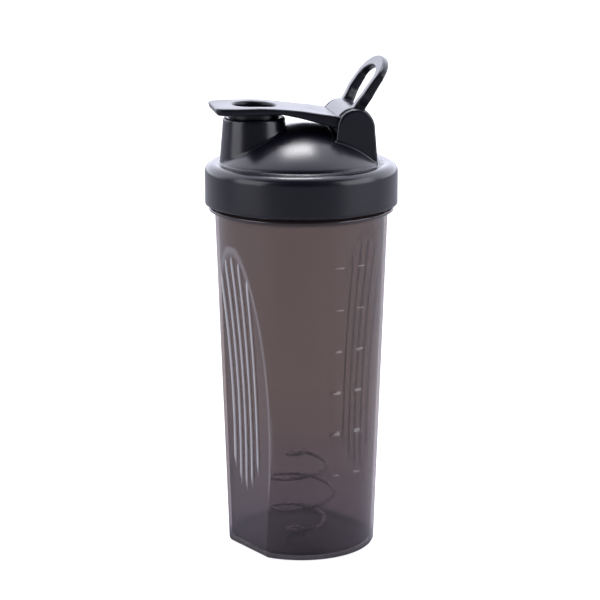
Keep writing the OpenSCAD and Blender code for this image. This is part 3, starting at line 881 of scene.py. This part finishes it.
def cap_field(x, y, z):
    """Below zero inside the cap: plate, ears and plug, less the recess, the groove and the pin's bore."""
    side = np.abs(y)
    edge = side - cap_half_w(x)
    front = TIP_X - x + 0.3 * np.maximum(PLATE_TOP_Z - 0.8 - z, 0)
    plan = blend_max(edge, front, CAP_CORNER)
    level = np.maximum(z - cap_top(x), cap_bottom(x) - z)
    plate = blend_max(plan, level, CAP_EDGE)
    plate = np.maximum(plate, x - hinge[0])
    axle = np.hypot(x - hinge[0], z - hinge[2])
    plate = blend_max(plate, -np.maximum(axle - POCKET_R, side - EAR_IN), EAR_EDGE)
    ears = blend_max(axle - TOWER_R, slab(side, EAR_IN, EAR_OUT), EAR_EDGE)
    body = blend_min(plate, ears, CAP_JOIN)
    from_spout = np.hypot(x - SPOUT_X, y)
    plug = blend_max(from_spout - PLUG_R, PLUG_Z - z, PLUG_EDGE)
    plug = np.maximum(plug, z - PLATE_Z - 0.5)
    body = blend_min(body, plug, CAP_JOIN)
    recess = blend_max(from_spout - (PLUG_R - PLUG_WALL), PLUG_Z + PLUG_WALL - z, 1.2)
    body = blend_max(body, -recess, RECESS_EDGE)
    seal_z = (seal_low[2] + seal_high[2]) / 2
    groove = np.hypot(from_spout - (seal_high[0] - SPOUT_X - GROOVE_R), z - seal_z) - GROOVE_R
    body = blend_max(body, -groove, 0.2)
    return np.maximum(body, -(axle - PIN_BORE_R))


def build_cap():
    points, faces = surface_net(cap_field, cap_low - FINE_MARGIN, cap_high + FINE_MARGIN, FINE_CELL)
    make_piece("cap_plate", points, faces, "cap", "flip_cap", CAP_BLACK)


# ---------------------------------------------------------------- carry loop

def loop_outline(side, along, inset, end, oval):
    """Distance out of spreading limbs with a half-oval end."""
    root_w = BARREL_HALF_W - inset
    half_w = root_w + LOOP_SPREAD * smooth_step((along - BARREL_R) / (2 * LOOP_SPREAD + 2))
    past = np.maximum(along - (end - oval), 0)
    full_w = root_w + LOOP_SPREAD
    round_end = (np.hypot(side / full_w, past / oval) - 1) * oval * 0.9
    return np.where(along > end - oval, round_end, side - half_w)


def loop_field(x, y, z):
    """Below zero inside the loop: a leaning, bowed ring on a barrel, less the pin's bore."""
    across, rise = x - hinge[0], z - hinge[2]
    axle = np.hypot(across, rise)
    side = np.abs(y)
    along = across * math.sin(LOOP_LEAN) + rise * math.cos(LOOP_LEAN)
    back = across * math.cos(LOOP_LEAN) - rise * math.sin(LOOP_LEAN)
    share = np.clip(along / LOOP_LEN, 0, 1)
    bow = LOOP_BOW * np.sin(math.pi * share)
    thickness = LOOP_ROOT_T + (LOOP_TIP_T - LOOP_ROOT_T) * share
    thick = slab(back + bow, -LOOP_FRONT_SHARE * thickness, (1 - LOOP_FRONT_SHARE) * thickness)
    outline = loop_outline(side, along, 0, LOOP_LEN, LOOP_OVAL)
    slot = loop_outline(side, along, LIMB_W, LOOP_LEN - LOOP_END_W, 0.7 * LOOP_OVAL)
    ring = blend_max(outline, thick, LOOP_EDGE)
    ring = blend_max(ring, -slot, LOOP_EDGE)
    ring = np.maximum(ring, BARREL_R / 2 - along)
    ring = np.maximum(ring, np.where(along < BARREL_R, side - BARREL_HALF_W, -1.0))
    barrel = blend_max(axle - BARREL_R, side - BARREL_HALF_W, LOOP_EDGE)
    body = blend_min(ring, barrel, LOOP_JOIN)
    return np.maximum(body, -(axle - PIN_BORE_R))


def build_loop():
    points, faces = surface_net(loop_field, loop_low - FINE_MARGIN, loop_high + FINE_MARGIN, FINE_CELL)
    make_piece("loop_ring", points, faces, "loop", "carry_loop", LOOP_BLACK)


# ---------------------------------------------------------------- stage, light and camera

CAMERA_TURN = math.radians(-10)
CAMERA_AWAY = 1.065
CAMERA_HEIGHT = 0.371
CAMERA_TILT = math.radians(13.03)
CAMERA_LENS = 131.5
CAMERA_SHIFT = -0.0022
FLOOR_HALF = 12.0
FLOOR_COLOUR = (0.26, 0.26, 0.275)
FLOOR_LIFT = 0.88
LIGHT_AIM_Z = 0.14
WORLD_UP_SHARE = 0.5
WORLD_DARK = (0.02, 0.02, 0.026)
WORLD_LIGHT = (0.86, 0.87, 1.0)
WORLD_STRENGTH = 2.9


def build_camera():
    """The camera at the place of the photo's."""
    data = bpy.data.cameras.new("camera")
    data.lens = CAMERA_LENS
    data.sensor_width = 36
    data.shift_x = CAMERA_SHIFT
    data.clip_end = 50
    camera = add_object("camera", data)
    camera.location = (CAMERA_AWAY * math.sin(CAMERA_TURN), -CAMERA_AWAY * math.cos(CAMERA_TURN),
                       CAMERA_HEIGHT)
    camera.rotation_euler = (math.pi / 2 - CAMERA_TILT, 0, CAMERA_TURN)
    bpy.context.scene.camera = camera


def build_floor():
    """A pale floor that the camera sees lifted towards white."""
    mesh = bpy.data.meshes.new("floor")
    corners = [(-FLOOR_HALF, -FLOOR_HALF, 0), (FLOOR_HALF, -FLOOR_HALF, 0),
               (FLOOR_HALF, FLOOR_HALF, 0), (-FLOOR_HALF, FLOOR_HALF, 0)]
    mesh.from_pydata(corners, [], [(0, 1, 2, 3)])
    material, nodes, links, shader = new_material("floor_white")
    shader.inputs["Base Color"].default_value = (*FLOOR_COLOUR, 1)
    shader.inputs["Roughness"].default_value = 0.7
    shader.inputs["Emission Color"].default_value = (1, 1, 1, 1)
    lift = nodes.new("ShaderNodeMath")
    lift.operation = "MULTIPLY"
    lift.inputs[1].default_value = FLOOR_LIFT
    path = nodes.new("ShaderNodeLightPath")
    links.new(path.outputs["Is Camera Ray"], lift.inputs[0])
    links.new(lift.outputs["Value"], shader.inputs["Emission Strength"])
    mesh.materials.append(material)
    add_object("floor", mesh)


def soft_light(name, turn, away, height, size, power, colour):
    """A soft box at an angle round the bottle, turned towards its middle."""
    data = bpy.data.lights.new(name, "AREA")
    data.shape = "RECTANGLE"
    data.size, data.size_y = size
    data.energy = power
    data.color = colour
    light = add_object(name, data)
    a = math.radians(turn)
    light.location = (away * math.sin(a), -away * math.cos(a), height)
    aim = Vector((0, 0, LIGHT_AIM_Z)) - light.location
    light.rotation_euler = aim.to_track_quat("-Z", "Y").to_euler()


def build_world():
    """White behind the bottle and dark towards the camera, as in a tent open at the front."""
    world = bpy.data.worlds.new("studio")
    bpy.context.scene.world = world
    world.use_nodes = True
    nodes, links = world.node_tree.nodes, world.node_tree.links
    nodes.clear()
    seen = nodes.new("ShaderNodeBackground")
    seen.inputs["Color"].default_value = (1, 1, 1, 1)
    coords = nodes.new("ShaderNodeTexCoord")
    facing = nodes.new("ShaderNodeVectorMath")
    facing.operation = "DOT_PRODUCT"
    facing.inputs[1].default_value = (-math.sin(CAMERA_TURN), math.cos(CAMERA_TURN), WORLD_UP_SHARE)
    ramp = nodes.new("ShaderNodeValToRGB")
    ramp.color_ramp.interpolation = "EASE"
    ramp.color_ramp.elements[0].position = 0.02
    ramp.color_ramp.elements[0].color = (*WORLD_DARK, 1)
    ramp.color_ramp.elements[1].position = 0.55
    ramp.color_ramp.elements[1].color = (*WORLD_LIGHT, 1)
    lighting = nodes.new("ShaderNodeBackground")
    path = nodes.new("ShaderNodeLightPath")
    mix = nodes.new("ShaderNodeMixShader")
    out = nodes.new("ShaderNodeOutputWorld")
    links.new(coords.outputs["Generated"], facing.inputs[0])
    links.new(facing.outputs["Value"], ramp.inputs["Fac"])
    links.new(ramp.outputs["Color"], lighting.inputs["Color"])
    lighting.inputs["Strength"].default_value = WORLD_STRENGTH
    links.new(path.outputs["Is Camera Ray"], mix.inputs["Fac"])
    links.new(lighting.outputs["Background"], mix.inputs[1])
    links.new(seen.outputs["Background"], mix.inputs[2])
    links.new(mix.outputs["Shader"], out.inputs["Surface"])


def build_stage():
    build_camera()
    build_floor()
    build_world()
    soft_light("top_box", 180, 0.28, 1.4, (0.46, 0.3), 10.5, (1, 1, 1))
    soft_light("left_box", -74, 1.2, 0.52, (0.9, 0.9), 9, (0.92, 0.93, 1))
    soft_light("right_box", 62, 1.2, 0.52, (1.0, 0.9), 12, (0.9, 0.92, 1))
    bpy.context.scene.view_settings.view_transform = "Standard"


build_stage()
build_cup()
build_whisk()
build_gasket()
build_seal()
build_pin()
build_lid()
build_cap()
build_loop()
